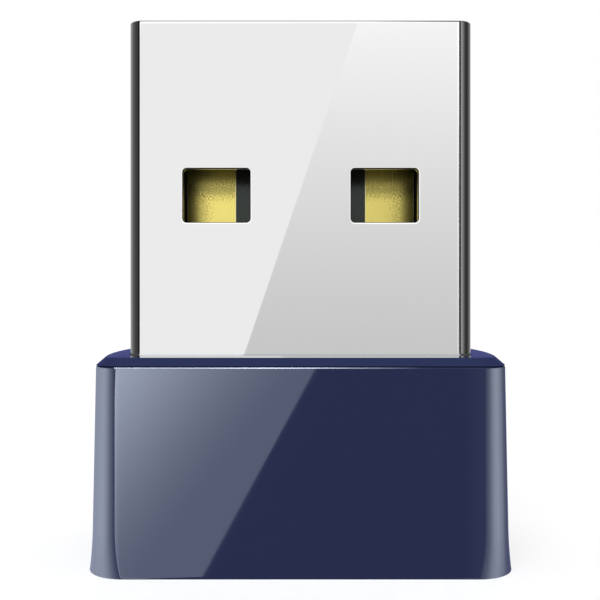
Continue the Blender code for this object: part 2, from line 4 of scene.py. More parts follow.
import bmesh
import bpy
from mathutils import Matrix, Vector


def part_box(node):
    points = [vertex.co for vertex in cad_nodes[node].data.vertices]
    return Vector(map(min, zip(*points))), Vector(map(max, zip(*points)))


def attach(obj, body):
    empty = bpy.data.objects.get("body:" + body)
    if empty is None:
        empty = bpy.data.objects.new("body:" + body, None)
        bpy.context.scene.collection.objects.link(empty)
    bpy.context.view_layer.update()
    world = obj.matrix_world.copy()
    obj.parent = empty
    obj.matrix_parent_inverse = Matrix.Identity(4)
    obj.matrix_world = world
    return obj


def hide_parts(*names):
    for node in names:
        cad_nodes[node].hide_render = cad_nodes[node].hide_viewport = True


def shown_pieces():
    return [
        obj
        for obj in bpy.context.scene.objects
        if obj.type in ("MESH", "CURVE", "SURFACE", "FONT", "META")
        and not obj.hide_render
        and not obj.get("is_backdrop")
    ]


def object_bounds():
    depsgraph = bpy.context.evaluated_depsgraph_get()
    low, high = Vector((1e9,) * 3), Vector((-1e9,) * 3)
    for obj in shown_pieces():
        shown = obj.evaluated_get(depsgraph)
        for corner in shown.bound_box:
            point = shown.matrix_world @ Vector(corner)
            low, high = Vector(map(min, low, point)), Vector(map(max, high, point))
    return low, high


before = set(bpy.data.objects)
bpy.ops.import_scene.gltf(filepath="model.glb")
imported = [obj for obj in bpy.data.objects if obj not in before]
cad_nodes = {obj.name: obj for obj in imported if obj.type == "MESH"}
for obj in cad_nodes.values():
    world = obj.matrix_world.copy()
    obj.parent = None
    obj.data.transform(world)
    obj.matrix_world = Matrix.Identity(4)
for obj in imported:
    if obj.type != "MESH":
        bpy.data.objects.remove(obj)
cad_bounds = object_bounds()
MM = 0.001


# ---------------------------------------------------------------------------------------------
# Main board. A T of glass cloth and epoxy, 0.8 mm thick, whose tongue runs up the plug. It wears
# a satin black solder mask over its copper tracks, and its routed edges are left bare.


def new_material(name):
    """Empty node material and its Principled shader."""
    made = bpy.data.materials.new(name)
    made.use_nodes = True
    made.node_tree.nodes.clear()
    shader = made.node_tree.nodes.new("ShaderNodeBsdfPrincipled")
    output = made.node_tree.nodes.new("ShaderNodeOutputMaterial")
    made.node_tree.links.new(shader.outputs["BSDF"], output.inputs["Surface"])
    return made, shader


def new_group(name, inputs, outputs):
    """Shader node group with named sockets: inputs give their defaults, outputs their kind."""
    group = bpy.data.node_groups.new(name, "ShaderNodeTree")
    for label, value in inputs.items():
        kind = "NodeSocketVector" if value is None else "NodeSocketFloat"
        socket = group.interface.new_socket(label, in_out="INPUT", socket_type=kind)
        if value is not None:
            socket.default_value = value
    for label, kind in outputs.items():
        group.interface.new_socket(label, in_out="OUTPUT", socket_type=f"NodeSocket{kind}")
    nodes = group.nodes
    return group, nodes.new("NodeGroupInput").outputs, nodes.new("NodeGroupOutput").inputs


def wire(tree, value, socket):
    """Links a socket, or sets a plain value."""
    if isinstance(value, bpy.types.NodeSocket):
        tree.links.new(value, socket)
    else:
        socket.default_value = value


def set_inputs(tree, node, **values):
    """Links or sets a node's inputs. Their names are given with _ for each space."""
    for label, value in values.items():
        wire(tree, value, node.inputs[label.replace("_", " ")])


def put_group(tree, group, **values):
    node = tree.nodes.new("ShaderNodeGroup")
    node.node_tree = group
    set_inputs(tree, node, **values)
    return node.outputs


def calc(tree, operation, *values, clamp=False):
    node = tree.nodes.new("ShaderNodeMath")
    node.operation = operation
    node.use_clamp = clamp
    for value, socket in zip(values, node.inputs):
        wire(tree, value, socket)
    return node.outputs[0]


def product(tree, first, *others):
    for other in others:
        first = calc(tree, "MULTIPLY", first, other)
    return first


def smooth_step(tree, value, start, end, low=0.0, high=1.0):
    """Goes smoothly from low to high while value goes from start to end."""
    node = tree.nodes.new("ShaderNodeMapRange")
    node.interpolation_type = "SMOOTHSTEP"
    set_inputs(tree, node, Value=value, From_Min=start, From_Max=end, To_Min=low, To_Max=high)
    return node.outputs["Result"]


def blend_colours(tree, share, first, second):
    node = tree.nodes.new("ShaderNodeMix")
    node.data_type = "RGBA"
    for i, value in ((0, share), (6, first), (7, second)):
        wire(tree, (*value, 1.0) if isinstance(value, tuple) else value, node.inputs[i])
    return node.outputs[2]


def vector_calc(tree, operation, *values):
    """As calc, for vectors. SCALE takes a vector and a number."""
    node = tree.nodes.new("ShaderNodeVectorMath")
    node.operation = operation
    second = "Scale" if operation == "SCALE" else 1
    for value, socket in zip(values, (node.inputs[0], node.inputs[second])):
        wire(tree, value, socket)
    return node.outputs[0]


def axes_of(tree, vector):
    """A vector's X, Y and Z."""
    split = tree.nodes.new("ShaderNodeSeparateXYZ")
    tree.links.new(vector, split.inputs[0])
    return split.outputs[0], split.outputs[1], split.outputs[2]


Place = namedtuple("Place", ("point", "x", "y", "z"))


def place_in_mm(tree):
    """A point's place on the object, in millimetres: the vector, and its X, Y and Z."""
    where = tree.nodes.new("ShaderNodeTexCoord").outputs["Object"]
    point = vector_calc(tree, "SCALE", where, 1 / MM)
    return Place(point, *axes_of(tree, point))


def facing(tree, axis):
    """How squarely a face looks along an axis (0, 1 or 2), from 0 to 1, either way round."""
    normal = tree.nodes.new("ShaderNodeNewGeometry").outputs["Normal"]
    return calc(tree, "ABSOLUTE", axes_of(tree, normal)[axis])


def bump(tree, shader, height, depth):
    """Raises the surface by the height, a value from 0 to 1, times the depth in metres."""
    node = tree.nodes.new("ShaderNodeBump")
    set_inputs(tree, node, Distance=depth, Height=height)
    tree.links.new(node.outputs[0], shader.inputs["Normal"])


def finish_nodes(material, *names):
    """Gives CAD nodes their finished material."""
    for name in names:
        for slot in cad_nodes[name].material_slots:
            slot.material = material


# Cloudy unevenness that most finishes have: soft patches, and a finer grain over them.
UNEVEN, given, made = new_group(
    "uneven_finish",
    {"Place": None, "Patch Size": 2.0, "Grain Size": 0.1},
    {"Patches": "Float", "Grain": "Float"},
)
for size, output, detail in (("Patch Size", "Patches", 2.0), ("Grain Size", "Grain", 4.0)):
    noise = UNEVEN.nodes.new("ShaderNodeTexNoise")
    scale = calc(UNEVEN, "DIVIDE", 1.0, given[size])
    set_inputs(UNEVEN, noise, Vector=given["Place"], Scale=scale, Detail=detail)
    UNEVEN.links.new(noise.outputs[0], made[output])


def start_finish(name, patch_size, grain_size):
    """A new material, its shader and tree, a point's place, and its uneven patches and grain."""
    finish, shader = new_material(name)
    tree = finish.node_tree
    place = place_in_mm(tree)
    uneven = put_group(
        tree, UNEVEN, Place=place.point, Patch_Size=patch_size, Grain_Size=grain_size
    )
    return finish, shader, tree, place, uneven


BOARD_MASK_COLOUR = (0.008, 0.009, 0.008)
BOARD_COPPER_COLOUR = (0.016, 0.018, 0.015)
BOARD_CORE_COLOURS = (0.34, 0.30, 0.17), (0.22, 0.19, 0.10)
BOARD_FIBRE = 0.28  # mm between threads of the glass cloth
TRACK_LENGTH, TRACK_PITCH, TRACK_WIDTH = 1.9, 0.62, 0.09  # mm
TRACKS_TOP = 8.6  # mm above the base, where the contacts take over from the tracks


def waves(tree, along, pitch):
    """Goes evenly from -1 to 1 and back, once for each pitch, in mm."""
    return calc(tree, "SINE", product(tree, along, 2 * math.pi / pitch))


solder_mask, shader, tree, place, uneven = start_finish("satin_black_solder_mask", 1.4, 0.05)
weave = product(tree, *(waves(tree, along, BOARD_FIBRE) for along in (place.x, place.z)))
turned = tree.nodes.new("ShaderNodeCombineXYZ")
set_inputs(tree, turned, X=place.z, Y=place.x)
tracks = tree.nodes.new("ShaderNodeTexBrick")
tracks.offset = 0.37
set_inputs(tree, tracks, Vector=turned.outputs[0], Scale=1.0, Mortar_Smooth=0.3)
set_inputs(tree, tracks, Brick_Width=TRACK_LENGTH, Row_Height=TRACK_PITCH, Mortar_Size=TRACK_WIDTH)
below_contacts = smooth_step(tree, place.z, TRACKS_TOP, TRACKS_TOP - 0.1)
track_mask = product(tree, tracks.outputs["Fac"], below_contacts)
on_face = smooth_step(tree, facing(tree, 1), 0.4, 0.6)
masked = blend_colours(tree, track_mask, BOARD_MASK_COLOUR, BOARD_COPPER_COLOUR)
core = blend_colours(tree, uneven["Grain"], *BOARD_CORE_COLOURS)
rough = calc(tree, "MULTIPLY_ADD", uneven["Patches"], 0.06, 0.17)
set_inputs(
    tree,
    shader,
    Base_Color=blend_colours(tree, on_face, core, masked),
    Roughness=smooth_step(tree, on_face, 0.0, 1.0, 0.75, rough),
    IOR=1.6,
    Specular_Tint=(0.88, 1.0, 0.92, 1.0),
)
relief = calc(tree, "MULTIPLY_ADD", weave, 0.08, product(tree, track_mask, 0.8))
bump(tree, shader, relief, 0.006 * MM)
finish_nodes(solder_mask, "main_board")


# ---------------------------------------------------------------------------------------------
# Contacts. Four flat copper fingers on the tongue's front, plated with nickel and then gold: wide
# ones outside for power, narrow ones inside for data. Their corners and top edges are rounded.


def arc(centre_x, centre_y, radius, start, end, steps):
    turns = [start + (end - start) * i / steps for i in range(steps + 1)]
    return [(centre_x + radius * math.cos(t), centre_y + radius * math.sin(t)) for t in turns]


def rounded_rectangle(low_x, high_x, low_z, high_z, corner, outset=0.0, steps=8):
    """Outline in X and Z, made larger all round by outset."""
    radius = corner + outset
    left, right = low_x + corner, high_x - corner
    bottom, top = low_z + corner, high_z - corner
    centres = (right, bottom), (right, top), (left, top), (left, bottom)
    points = []
    for quarter, (x, z) in enumerate(centres):
        start = (quarter - 1) * math.pi / 2
        points += arc(x, z, radius, start, start + math.pi / 2, steps)
    return points


def upright(outline, depth):
    """An outline drawn in X and Z, set at a depth along Y."""
    return [(x, depth, z) for x, z in outline]


def add_object(name, data):
    made = bpy.data.objects.new(name, data)
    bpy.context.scene.collection.objects.link(made)
    return made


def mesh_object(name, bm):
    bmesh.ops.recalc_face_normals(bm, faces=bm.faces[:])
    mesh = bpy.data.meshes.new(name)
    bm.to_mesh(mesh)
    bm.free()
    return add_object(name, mesh)


def loft(name, rings, closed=False):
    """Skins rings of equally many points. The first and last are capped, or joined if closed."""
    bm = bmesh.new()
    loops = [[bm.verts.new(point) for point in ring] for ring in rings]
    following = loops[1:] + loops[:1] if closed else loops[1:]
    for lower, upper in zip(loops, following):
        for i in range(len(lower)):
            j = (i + 1) % len(lower)
            bm.faces.new((lower[i], lower[j], upper[j], upper[i]))
    if not closed:
        bm.faces.new(loops[0])
        bm.faces.new(loops[-1])
    return mesh_object(name, bm)


def shade(piece):
    """Smooth curves, crisp corners, and flat faces that stay flat in a reflection."""
    mesh = piece.data
    mesh.shade_smooth()
    mesh.set_sharp_from_angle(angle=math.radians(32))
    weighted = piece.modifiers.new("flat_faces", "WEIGHTED_NORMAL")
    weighted.keep_sharp = True


def finish_piece(piece, material, slot, *replaced):
    """Shades a new piece, gives it its material, and stands it in for its CAD nodes."""
    shade(piece)
    piece.data.materials.clear()
    piece.data.materials.append(material)
    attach(piece, "root")
    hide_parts(*replaced)


def quarter_round(radius, steps=4):
    """Steps of a rounded edge: how far in from the side, and how far down from the top."""
    turns = [math.pi / 2 * i / steps for i in range(steps + 1)]
    return [(radius * (1 - math.cos(t)), radius * (1 - math.sin(t))) for t in turns]


def distance(tree, first, second):
    return calc(tree, "ABSOLUTE", calc(tree, "SUBTRACT", first, second))


def from_middle(tree, axis):
    """How far a point lies from its piece's middle along an axis, as a share of its length."""
    share = tree.nodes.new("ShaderNodeTexCoord").outputs["Generated"]
    return distance(tree, axes_of(tree, share)[axis], 0.5)


# Hairlines left by handling, polishing and use. They run up the object along Z.
HAIRLINES, given, made = new_group(
    "hairlines", {"Place": None, "Spacing": 0.05, "Length": 6.0}, {"Lines": "Float"}
)
sizes = HAIRLINES.nodes.new("ShaderNodeCombineXYZ")
set_inputs(HAIRLINES, sizes, X=given["Spacing"], Y=given["Spacing"], Z=given["Length"])
stretched = vector_calc(HAIRLINES, "DIVIDE", given["Place"], sizes.outputs[0])
noise = HAIRLINES.nodes.new("ShaderNodeTexNoise")
set_inputs(HAIRLINES, noise, Vector=stretched, Scale=1.0, Detail=3.0)
HAIRLINES.links.new(smooth_step(HAIRLINES, noise.outputs[0], 0.52, 0.72), made["Lines"])

CONTACT_CORNER = 0.2 * MM
CONTACT_EDGE = 0.012 * MM
GOLD_COLOURS = (1.0, 0.85, 0.225), (0.97, 0.82, 0.24)
# Paler gold for the highlight painted along each finger's upright edges.
GOLD_HIGHLIGHT_COLOUR = (1.0, 0.95, 0.55)
HIGHLIGHT_SHARE = 0.022  # of a contact's width, along its upright edges, where a highlight is painted in paler gold
PAINTED_SHADE_SIDE = 3.2, 3.9  # mm from the plug's middle, from where painted shade starts to where it is full
PAINTED_SHADE_BAND = 12.95, 13.45, 13.75  # mm above the base: where the band starts, is full and ends
RAGGED_SIDE, RAGGED_BAND = 1.8, 1.2  # mm that the grain moves the edges of the painted shade
UNSHADED_SIDE_SHARE, UNSHADED_BAND_SHARE = 0.6, 0.5  # of the gold's brightness, left where shade is painted

gold, shader, tree, place, uneven = start_finish("gold_plating", 0.7, 0.06)
lines = put_group(tree, HAIRLINES, Place=place.point, Spacing=0.02, Length=3.0)["Lines"]
# Painted highlight: a paler gold along each finger's two upright edges.
painted_highlight_edge = smooth_step(tree, from_middle(tree, 0), 0.5 - HIGHLIGHT_SHARE, 0.5 - HIGHLIGHT_SHARE / 2)
gilt = blend_colours(tree, uneven["Patches"], *GOLD_COLOURS)
# Painted shade: the gold is darkened towards its outer sides and in a band near the top, where the
# shell's window edges shade it.
mottle = calc(tree, "SUBTRACT", uneven["Grain"], 0.5)
outward = calc(tree, "MULTIPLY_ADD", mottle, RAGGED_SIDE, calc(tree, "ABSOLUTE", place.x))
upward = calc(tree, "MULTIPLY_ADD", mottle, RAGGED_BAND, place.z)
unshaded_side = smooth_step(tree, outward, *PAINTED_SHADE_SIDE, 1.0, UNSHADED_SIDE_SHARE)
unshaded_below = smooth_step(tree, upward, *PAINTED_SHADE_BAND[:2], 1.0, UNSHADED_BAND_SHARE)
unshaded_above = smooth_step(tree, upward, *PAINTED_SHADE_BAND[1:], 0.0, 1.0 - UNSHADED_BAND_SHARE)
unshaded = product(tree, unshaded_side, calc(tree, "ADD", unshaded_below, unshaded_above))
# Painted shade: the gold is blended towards black where it is shaded.
painted_shade_gold = blend_colours(tree, unshaded, (0.0, 0.0, 0.0), gilt)
# Painted highlight along the edges, laid over the painted shade.
painted_light_colour = blend_colours(tree, painted_highlight_edge, painted_shade_gold, GOLD_HIGHLIGHT_COLOUR)
rough = calc(tree, "MULTIPLY_ADD", uneven["Grain"], 0.05, 0.21)
rough = calc(tree, "MULTIPLY_ADD", lines, 0.04, rough)
set_inputs(tree, shader, Base_Color=painted_light_colour, Roughness=rough, Metallic=1.0)
bump(tree, shader, uneven["Grain"], 0.0006 * MM)

for node_name in ("contact_vbus", "contact_data_minus", "contact_data_plus", "contact_ground"):
    low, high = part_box(node_name)
    rings = []
    for inset, down in quarter_round(CONTACT_EDGE, 3):
        outline = rounded_rectangle(low.x, high.x, low.z, high.z, CONTACT_CORNER, -inset)
        rings.append(upright(outline, low.y + down))
    outline = rounded_rectangle(low.x, high.x, low.z, high.z, CONTACT_CORNER)
    rings.insert(0, upright(outline, high.y))
    finger = loft(f"{node_name}_finger", rings)
    finish_piece(finger, gold, "gold_contact", node_name)


# ---------------------------------------------------------------------------------------------
# Parts soldered to the board: the printed antenna, the radio chip, its crystal, the supply parts
# and the capacitors. Each is a bought component, set down by machine and reflowed.


def mottled_finish(
    name, sizes, colours, roughness, relief, metallic=0.0, follows=("Patches", "Grain", "Grain")
):
    """Finish that drifts between two colours. Sizes are those of its patches and grain, roughness
    is its spread and its least, relief is in mm, and follows says what each of the three goes by.
    """
    finish, shader, tree, _, uneven = start_finish(name, *sizes)
    colour_by, rough_by, relief_by = (uneven[label] for label in follows)
    colour = blend_colours(tree, colour_by, *colours)
    rough = calc(tree, "MULTIPLY_ADD", rough_by, *roughness)
    set_inputs(tree, shader, Base_Color=colour, Roughness=rough, Metallic=metallic)
    bump(tree, shader, relief_by, relief * MM)
    return finish


COPPER_COLOURS = (0.78, 0.50, 0.34), (0.62, 0.55, 0.48)
CAN_COLOURS = (0.74, 0.73, 0.70), (0.62, 0.61, 0.58)
FERRITE_COLOURS = (0.05, 0.05, 0.055), (0.12, 0.12, 0.125)

copper = mottled_finish(
    "tinned_copper_track",
    sizes=(0.5, 0.04),
    colours=COPPER_COLOURS,
    roughness=(0.2, 0.22),
    relief=0.004,
    metallic=1.0,
)
can = mottled_finish(
    "nickel_plated_can",
    sizes=(0.8, 0.03),
    colours=CAN_COLOURS,
    roughness=(0.15, 0.2),
    relief=0.002,
    metallic=1.0,
)
ferrite = mottled_finish(
    "pressed_ferrite",
    sizes=(0.6, 0.05),
    colours=FERRITE_COLOURS,
    roughness=(0.2, 0.55),
    relief=0.02,
    follows=("Grain", "Patches", "Grain"),
)
finish_nodes(copper, "antenna")
finish_nodes(can, "crystal")
finish_nodes(ferrite, "power_inductor")

PAD_PITCH = 0.5  # mm between the chips' leads
PAD_HEIGHT = 0.18  # mm that the leads reach up a chip's side


def leads_near(tree, place, board_y):
    """Mask of a chip's leads: short pads round its foot, where it meets the board."""
    directions = place.x, place.z
    rows = [smooth_step(tree, waves(tree, along, PAD_PITCH), 0.0, 0.25) for along in directions]
    away = distance(tree, place.y, board_y / MM)
    at_foot = smooth_step(tree, away, PAD_HEIGHT, PAD_HEIGHT * 0.8)
    return product(tree, calc(tree, "MAXIMUM", *rows), at_foot)


TIN_COLOUR = (0.72, 0.73, 0.74)

board_low, board_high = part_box("main_board")
for name, board_y, colour, members in (
    ("front_chip_epoxy", board_low.y, (0.028, 0.028, 0.031), ("voltage_regulator", "esd_guard")),
    ("radio_chip_epoxy", board_high.y, (0.034, 0.034, 0.038), ("wifi_chip",)),
):
    epoxy, shader, tree, place, uneven = start_finish(name, 0.9, 0.025)
    pads = leads_near(tree, place, board_y)
    dark = blend_colours(tree, uneven["Grain"], colour, tuple(1.8 * part for part in colour))
    leaded = blend_colours(tree, pads, dark, TIN_COLOUR)
    matt = calc(tree, "MULTIPLY_ADD", uneven["Patches"], 0.15, 0.5)
    rough = smooth_step(tree, pads, 0.0, 1.0, matt, 0.3)
    set_inputs(tree, shader, Base_Color=leaded, Roughness=rough, Metallic=pads)
    bump(tree, shader, uneven["Grain"], 0.006 * MM)
    finish_nodes(epoxy, *members)

CAP_SHARE = 0.2  # of a capacitor's length that each tinned end covers
SUPPLY_COLOUR = (0.42, 0.27, 0.15)
MATCHING_COLOUR = (0.60, 0.50, 0.38)
CAP_COLOUR = (0.74, 0.74, 0.72)
MATCHING_PARTS = ("matching_inductor", "matching_capacitor_1", "matching_capacitor_2")

for name, long_axis, colour, members in (
    ("supply_ceramic_upright", 2, SUPPLY_COLOUR, ("input_capacitor", "output_capacitor")),
    ("supply_ceramic_flat", 0, SUPPLY_COLOUR, ("supply_capacitor_1", "supply_capacitor_2")),
    ("matching_ceramic", 0, MATCHING_COLOUR, MATCHING_PARTS),
):
    ceramic, shader, tree, _, uneven = start_finish(name, 0.3, 0.03)
    tinned = smooth_step(tree, from_middle(tree, long_axis), 0.49 - CAP_SHARE, 0.5 - CAP_SHARE)
    body = blend_colours(tree, uneven["Grain"], colour, tuple(0.7 * part for part in colour))
    capped = blend_colours(tree, tinned, body, CAP_COLOUR)
    rough = smooth_step(tree, tinned, 0.0, 1.0, 0.5, 0.28)
    set_inputs(tree, shader, Base_Color=capped, Roughness=rough, Metallic=tinned)
    bump(tree, shader, uneven["Grain"], 0.004 * MM)
    finish_nodes(ceramic, *members)


# ---------------------------------------------------------------------------------------------
# Plug carrier and stop bar. Black liquid-crystal polymer mouldings: the carrier fills the plug
# behind the tongue and noses over its tip, and the bar pegs into it across the tongue's root.

MOULDING_EDGE = 0.03 * MM
BLACK_COLOURS = (0.018, 0.018, 0.019), (0.030, 0.030, 0.032)

black = mottled_finish(
    "black_carrier_moulding",
    sizes=(1.2, 0.04),
    colours=BLACK_COLOURS,
    roughness=(0.15, 0.38),
    relief=0.005,
)
finish_nodes(black, "plug_carrier", "stop_bar")
for name in ("plug_carrier", "stop_bar"):
    moulding = cad_nodes[name]
    weld = moulding.modifiers.new("joined_faces", "WELD")
    weld.merge_threshold = 0.001 * MM
    edges = moulding.modifiers.new("rounded_edges", "BEVEL")
    edges.width = MOULDING_EDGE
    edges.segments = 2
    edges.limit_method = "ANGLE"
    edges.angle_limit = math.radians(40)
    flat = moulding.modifiers.new("flat_faces", "WEIGHTED_NORMAL")
    flat.keep_sharp = True


# ---------------------------------------------------------------------------------------------
# Plug shell. One strip of 0.3 mm steel, blanked with four latch windows, folded round into a
# rectangle, locked by a dovetail up its back, and then plated with bright nickel.

SHEET = 0.3 * MM
PLUG_CORNER = 0.45 * MM
TIP_ROUND = 0.06 * MM
WINDOW_WIDTH = 2.34 * MM
WINDOW_HEIGHT = 1.87 * MM
WINDOW_CORNER = 0.13 * MM
WINDOW_OFFSET = 2.93 * MM  # from the plug's middle to a window's
WINDOW_SETBACK = 5.16 * MM  # from the plug's tip down to a window's top
WINDOW_ROUND = 0.07 * MM
SEAM_GAP = 0.04 * MM
SEAM_ROUND = 0.04 * MM
DOVETAIL_NECK = 1.3 * MM
DOVETAIL_HEAD = 1.9 * MM
DOVETAIL_DEPTH = 1.1 * MM
DOVETAIL_PLACE = 0.36  # share of the way down the plug
LEG_LENGTH = 1.9 * MM
LEG_WIDTH = 1.6 * MM  # along Y, across the board's edge
STOP_TAB_WIDTH = 3.0 * MM
STOP_TAB_REACH = 0.45 * MM  # out from the sleeve's broad face
CORNER_STEPS = 16
END_STEPS = 14

shell_low, shell_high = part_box("plug_shell")
cover_low, cover_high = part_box("top_cover")
PLUG_HALF_WIDTH = shell_high.x
PLUG_TIP = shell_high.z
LEG_BOTTOM = shell_low.z
SLEEVE_BOTTOM = LEG_BOTTOM + LEG_LENGTH
PLUG_HALF_DEPTH = shell_high.y - STOP_TAB_REACH


def turned_round(half):
    """Whole outline from its +X half, which is the same after half a turn."""
    return half + [(-x, -y) for x, y in half]


def at_height(outline, height):
    return [(x, y, height) for x, y in outline]


def plug_outline(outset=0.0):
    """The sleeve's outer rectangle with rounded corners, made larger all round by outset."""
    corner = PLUG_CORNER + outset
    x = PLUG_HALF_WIDTH - PLUG_CORNER
    y = PLUG_HALF_DEPTH - PLUG_CORNER
    front = arc(x, -y, corner, -math.pi / 2, 0, CORNER_STEPS)
    side = [(x + corner, -y + 2 * y * i / END_STEPS) for i in range(1, END_STEPS)]
    back = arc(x, y, corner, 0, math.pi / 2, CORNER_STEPS)
    return turned_round(front + side + back)


def extruded(name, outline, travel):
    bm = bmesh.new()
    face = bm.faces.new([bm.verts.new(point) for point in outline])
    swept = bmesh.ops.extrude_face_region(bm, geom=[face])
    moved = [item for item in swept["geom"] if isinstance(item, bmesh.types.BMVert)]
    bmesh.ops.translate(bm, verts=moved, vec=travel)
    return mesh_object(name, bm)


def block(name, low, high):
    low, high = Vector(low), Vector(high)
    base = [(low.x, low.y), (high.x, low.y), (high.x, high.y), (low.x, high.y)]
    return extruded(name, at_height(base, low.z), (0, 0, high.z - low.z))


def put_in_order(mesh):
    """Sorts a mesh's points and faces: the Boolean solver's own order differs from run to run."""
    places = [tuple(vertex.co) for vertex in mesh.vertices]
    order = sorted(range(len(places)), key=places.__getitem__)
    rank = {old: new for new, old in enumerate(order)}
    faces = []
    for polygon in mesh.polygons:
        ring = [rank[i] for i in polygon.vertices]
        starts = (0, 2) if len(ring) == 4 else range(len(ring))  # a quad keeps its diagonal
        first = min(starts, key=ring.__getitem__)
        faces.append(ring[first:] + ring[:first])
    mesh.clear_geometry()
    mesh.from_pydata([places[i] for i in order], [], sorted(faces))


def combine(body, tool, operation):
    """Adds the tool to the body or takes it away, then throws the tool away."""
    step = body.modifiers.new(tool.name, "BOOLEAN")
    step.operation = operation
    step.object = tool
    graph = bpy.context.evaluated_depsgraph_get()
    result = bpy.data.meshes.new_from_object(body.evaluated_get(graph))
    body.modifiers.remove(step)
    body.data = result
    bpy.data.objects.remove(tool)


def ribbon(path, width):
    """Outline of a strip of even width along a path of straight runs, mitred at each turn."""
    points = [Vector(point) for point in path]
    runs = [(b - a).normalized() for a, b in zip(points, points[1:])]
    left, right = [], []
    for i, point in enumerate(points):
        before = runs[max(i - 1, 0)].orthogonal()
        after = runs[min(i, len(runs) - 1)].orthogonal()
        side = (before + after) * (width / (1 + before.dot(after)) / 2)
        left.append(tuple(point + side))
        right.append(tuple(point - side))
    return left + right[::-1]


def stop_tab(side):
    """Tab bent out of the sleeve's lower edge, which the cover's spigot holds down."""
    inner_y, outer_y = PLUG_HALF_DEPTH - SHEET, PLUG_HALF_DEPTH
    bend = SHEET * 1.5
    centre = (inner_y + bend, SLEEVE_BOTTOM + bend)
    section = [(inner_y, SLEEVE_BOTTOM + 2 * SHEET)]
    section += arc(*centre, bend, math.pi, 1.5 * math.pi, 8)
    section += [(outer_y + STOP_TAB_REACH, z) for z in (SLEEVE_BOTTOM, SLEEVE_BOTTOM + SHEET)]
    section += arc(*centre, bend - SHEET, 1.5 * math.pi, math.pi, 8)
    section += [(outer_y, SLEEVE_BOTTOM + 2 * SHEET)]
    outline = [(-STOP_TAB_WIDTH / 2, side * y, z) for y, z in section]
    return extruded(f"stop_tab_{side}", outline, (STOP_TAB_WIDTH, 0, 0))


outer_edge = quarter_round(TIP_ROUND)
rings = [at_height(plug_outline(), LEG_BOTTOM)]
rings += [at_height(plug_outline(-inset), PLUG_TIP - down) for inset, down in outer_edge]
rings += [
    at_height(plug_outline(inset - SHEET), PLUG_TIP - down) for inset, down in reversed(outer_edge)
]
rings.append(at_height(plug_outline(-SHEET), LEG_BOTTOM))
shell = loft("plug_shell_sheet", rings, closed=True)

beyond = PLUG_HALF_DEPTH + SHEET
window_top = PLUG_TIP - WINDOW_SETBACK
for side in (-1, 1):
    middle = side * WINDOW_OFFSET
    stations = [(beyond, WINDOW_ROUND)]
    for inset, down in quarter_round(WINDOW_ROUND):
        stations.append((PLUG_HALF_DEPTH - inset, down))
    rings = []
    for depth, outset in [(-d, o) for d, o in stations] + stations[::-1]:
        outline = rounded_rectangle(
            middle - WINDOW_WIDTH / 2,
            middle + WINDOW_WIDTH / 2,
            window_top - WINDOW_HEIGHT,
            window_top,
            WINDOW_CORNER,
            outset,
        )
        rings.append(upright(outline, depth))
    combine(shell, loft("window_cut", rings), "DIFFERENCE")

board_middle = (board_low.y + board_high.y) / 2
leg_low, leg_high = board_middle - LEG_WIDTH / 2, board_middle + LEG_WIDTH / 2
for low_y, high_y in ((-beyond, leg_low), (leg_high, beyond)):
    reach = 2 * PLUG_HALF_WIDTH
    low_corner, high_corner = (-reach, low_y, LEG_BOTTOM - SHEET), (reach, high_y, SLEEVE_BOTTOM)
    combine(shell, block("cutback", low_corner, high_corner), "DIFFERENCE")
for side in (-1, 1):
    combine(shell, stop_tab(side), "UNION")

seam_middle = PLUG_TIP - DOVETAIL_PLACE * (PLUG_TIP - cover_high.z)
neck, head = DOVETAIL_NECK / 2, DOVETAIL_HEAD / 2
seam_path = [
    (0, PLUG_TIP + SHEET),
    (0, seam_middle + neck),
    (DOVETAIL_DEPTH, seam_middle + head),
    (DOVETAIL_DEPTH, seam_middle - head),
    (0, seam_middle - neck),
    (0, SLEEVE_BOTTOM - SHEET),
]
rings = []
for depth, width in (
    (PLUG_HALF_DEPTH - 2 * SHEET, SEAM_GAP),
    (PLUG_HALF_DEPTH - SEAM_ROUND, SEAM_GAP),
    (PLUG_HALF_DEPTH, SEAM_GAP + SEAM_ROUND),
    (beyond, SEAM_GAP + SEAM_ROUND),
):
    rings.append(upright(ribbon(seam_path, width), depth))
combine(shell, loft("seam_cut", rings), "DIFFERENCE")

NICKEL_COLOURS = (0.87, 0.87, 0.865), (0.85, 0.85, 0.85)
# Matt white for the highlight painted on the windows' rolled edges.
PAINTED_HIGHLIGHT_WHITE = (1.0, 1.0, 0.98)
# Near black for the shade painted on the windows' broken edges.
PAINTED_SHADE_BLACK = (0.03, 0.03, 0.03)


def band(tree, value, rise, fall):
    """1 between two soft edges, each given by where it starts and by where it is whole."""
    return product(tree, smooth_step(tree, value, *rise), smooth_step(tree, value, *fall))


nickel, shader, tree, place, uneven = start_finish("bright_nickel_plating", 3.0, 0.06)
lines = put_group(tree, HAIRLINES, Place=place.point, Spacing=0.03, Length=5.0)["Lines"]
clouded = blend_colours(tree, uneven["Patches"], *NICKEL_COLOURS)
rough = calc(tree, "MULTIPLY_ADD", uneven["Patches"], 0.012, 0.006)
rough = calc(tree, "MULTIPLY_ADD", lines, 0.012, rough)
# Round each window, where the blanked edge rolls over, the plating is painted matt white as a
# highlight, and where the punch broke through it is painted near black as shade.
near = []
for along, middle, half in (
    (calc(tree, "ABSOLUTE", place.x), WINDOW_OFFSET, WINDOW_WIDTH / 2),
    (place.z, window_top - WINDOW_HEIGHT / 2, WINDOW_HEIGHT / 2),
):
    reach = (half + 2 * WINDOW_ROUND) / MM
    near.append(calc(tree, "LESS_THAN", distance(tree, along, middle / MM), reach))
near_window = product(tree, *near)
faces_out = facing(tree, 1)
